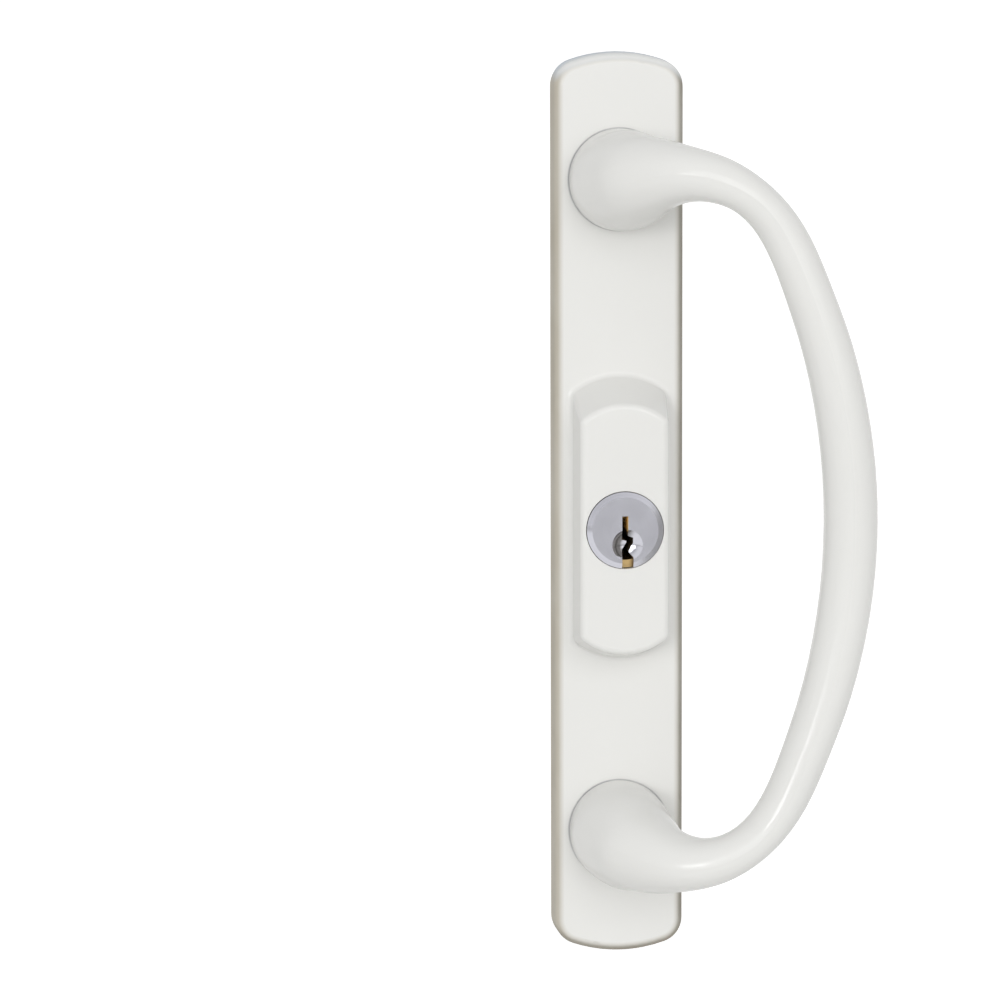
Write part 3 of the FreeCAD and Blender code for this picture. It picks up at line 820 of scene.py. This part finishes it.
def makePosts():
    low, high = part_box("door_posts")
    shape = bmesh.new()
    for z in (high.z - postSize["radius"], low.z + postSize["radius"]):
        skinRings(shape, postRings(low.y, high.y, z))
    finishPiece("door_posts_tapped", shape, metals["zincPlate"], "door_posts")


def makeSpring(node):
    low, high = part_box(node)
    wire = springSize["wire"] / 2
    centre = (low + high) / 2
    coilR = (high.x - low.x) / 2 - wire
    free = high.z - low.z - springSize["wire"]
    turns, closed, climb = springSize["turns"], springSize["closedTurn"], springSize["closedClimb"]
    total = turns + 2 * closed
    steps = int(total * springSize["stepsPerTurn"])
    rings = []
    for step in range(steps + 1):
        turn = total * step / steps
        share = min(1.0, max(0.0, (turn - closed) / turns))
        lift = wire + free * ((1.0 - climb) * share + climb * turn / total)
        out = Vector((cos(2 * pi * turn), sin(2 * pi * turn), 0.0))
        middle = Vector((centre.x, centre.y, low.z + lift)) + out * coilR
        ring = []
        for side in range(springSize["wireSides"]):
            around = 2 * pi * side / springSize["wireSides"]
            ring.append(middle + out * (wire * cos(around)) + Vector((0, 0, wire * sin(around))))
        rings.append(ring)
    first, last = ([sum(ring, Vector()) / len(ring)] for ring in (rings[0], rings[-1]))
    shape = bmesh.new()
    skinRings(shape, [first] + rings + [last])
    finishPiece(node + "_wire", shape, metals["springSteel"], node)


def named(start):  # CAD nodes of one kind
    return [name for name in nodes if name.startswith(start)]


for node in screwSizes:
    makeScrews(node)
makePosts()
for node in named("pin_spring"):
    makeSpring(node)
print("screws, posts and springs built")

finishes = {
    plateEnamel: ["outside_plate"],
    pullEnamel: ["pull_handle"],
    platedPlug: ["key_plug"],
    metals["shellBrass"]: ["cylinder_shell", "chamber_cover"],
    metals["pinBrass"]: named("driver_pin"),
    metals["keyPinBrassLitAndShaded"]: named("key_pin"),
    metals["zincPlate"]: ["tailpiece_pin"],
    metals["stampedZinc"]: ["foot_washers", "cylinder_clamp", "tailpiece"],
    metals["springSteel"]: ["plug_clip"],
}
for material, names in finishes.items():
    for name in names:
        nodes[name].data.materials.clear()
        nodes[name].data.materials.append(material)
print("finishes on the CAD nodes")


# camera, light and floor

shot = {
    "azimuth": -5.9,
    "elevation": 6.6,
    "distance": 1.1,
    "focalPixels": 5192.0,
    "imagePixels": 1000.0,
    "originPixel": (615.2, 502.3),  # where the middle of the plate's back is seen
    "sensorWidth": 36.0,
    "nearest": 0.01,
}
studio = {
    "floorDrop": 40 * mm,  # below the lowest point of the handle
    "floorSize": 60.0,
    "floorColor": (0.86, 0.86, 0.85, 1.0),
    "floorRoughness": 0.9,
    "floorGlow": 0.46,
    "mirrorSpan": (-0.85, -0.45),  # far in front of the handle the mirrored floor loses its glow
    "ambient": 0.62,
    "cameraSide": (0.32, 0.32, 0.33, 1.0),  # the room in front of the handle is dimmer
    "cameraSideSpan": (-0.5, -0.95),
    "lamps": {  # azimuth, elevation, level, and degrees across, so that shadows stay soft
        "softLeft": (-27.0, 3.0, 0.84, 23.0),
        "softRight": (23.0, 14.0, 0.50, 44.0),
        "softFront": (-4.0, 12.0, 0.89, 46.0),
    },
}


def directionTo(azimuth, elevation):
    a, e = radians(azimuth), radians(elevation)
    return Vector((sin(a) * cos(e), -cos(a) * cos(e), sin(e)))


def makeCamera():
    back = directionTo(shot["azimuth"], shot["elevation"])
    right = Vector((-back.y, back.x, 0)).normalized()
    view = Matrix((right, back.cross(right), back)).transposed()
    middle = shot["imagePixels"] / 2
    yaw, pitch = (atan((pixel - middle) / shot["focalPixels"]) for pixel in shot["originPixel"])
    view = view @ Matrix.Rotation(yaw, 3, "Y") @ Matrix.Rotation(pitch, 3, "X")
    data = bpy.data.cameras.new("photoView")
    data.sensor_width = shot["sensorWidth"]
    data.lens = shot["focalPixels"] / shot["imagePixels"] * shot["sensorWidth"]
    data.clip_start = shot["nearest"]
    camera = bpy.data.objects.new("photoView", data)
    camera.matrix_world = Matrix.Translation(back * shot["distance"]) @ view.to_4x4()
    bpy.context.scene.collection.objects.link(camera)
    bpy.context.scene.camera = camera


def makeWorld():  # white to the eye and in reflections, dimmer as light
    world = bpy.data.worlds.new("paleStudio")
    bpy.context.scene.world = world
    world.use_nodes = True
    tree = world.node_tree
    background = tree.nodes["Background"].inputs
    path = put(tree, "ShaderNodeLightPath").outputs
    seen = calc(tree, "MAXIMUM", path["Is Camera Ray"], path["Is Glossy Ray"])
    seen = calc(tree, "MAXIMUM", seen, path["Is Transmission Ray"])
    level = calc(tree, "MULTIPLY_ADD", seen, 1.0 - studio["ambient"], studio["ambient"])
    tree.links.new(level, background["Strength"])
    toward = split(tree, put(tree, "ShaderNodeTexCoord").outputs["Generated"])[1]
    unseen = calc(tree, "SUBTRACT", 1.0, path["Is Camera Ray"])  # the camera sees white all round
    dim = times(tree, ramp(tree, toward, *studio["cameraSideSpan"]), unseen)
    tree.links.new(blendColor(tree, dim, white, studio["cameraSide"]), background["Color"])


def makeFloor():
    reach = studio["floorSize"] / 2
    floorZ = cadLow.z - studio["floorDrop"]
    corners = [(x * reach, y * reach, floorZ) for x, y in ((-1, -1), (1, -1), (1, 1), (-1, 1))]
    mesh = bpy.data.meshes.new("paleFloor")
    mesh.from_pydata(corners, [], [(0, 1, 2, 3)])
    floor = bpy.data.objects.new("paleFloor", mesh)
    bpy.context.scene.collection.objects.link(floor)
    material, tree, shader, place = startMaterial("paleFloor")
    shader.inputs["Base Color"].default_value = studio["floorColor"]
    shader.inputs["Roughness"].default_value = studio["floorRoughness"]
    path = put(tree, "ShaderNodeLightPath").outputs
    ahead = ramp(tree, split(tree, place)[1], *studio["mirrorSpan"])
    mirrored = times(tree, path["Is Glossy Ray"], ahead)
    straight = calc(tree, "MAXIMUM", path["Is Camera Ray"], path["Is Transmission Ray"])
    share = times(tree, calc(tree, "MAXIMUM", straight, mirrored), studio["floorGlow"])
    glow = put(tree, "ShaderNodeEmission", {"Color": white, "Strength": share}).outputs[0]
    whole = put(tree, "ShaderNodeAddShader", {0: shader.outputs[0], 1: glow}).outputs[0]
    tree.links.new(whole, tree.nodes["Material Output"].inputs["Surface"])
    mesh.materials.append(material)


def makeLamps():
    for name, (azimuth, elevation, level, spread) in studio["lamps"].items():
        lamp = bpy.data.lights.new(name, "SUN")
        lamp.energy = level
        lamp.angle = radians(spread)
        light = bpy.data.objects.new(name, lamp)
        light.rotation_euler = directionTo(azimuth, elevation).to_track_quat("Z", "Y").to_euler()
        bpy.context.scene.collection.objects.link(light)


makeCamera()
makeWorld()
makeFloor()
makeLamps()
bpy.context.scene.view_settings.view_transform = "Standard"
print("camera and studio set")

print("scene complete")
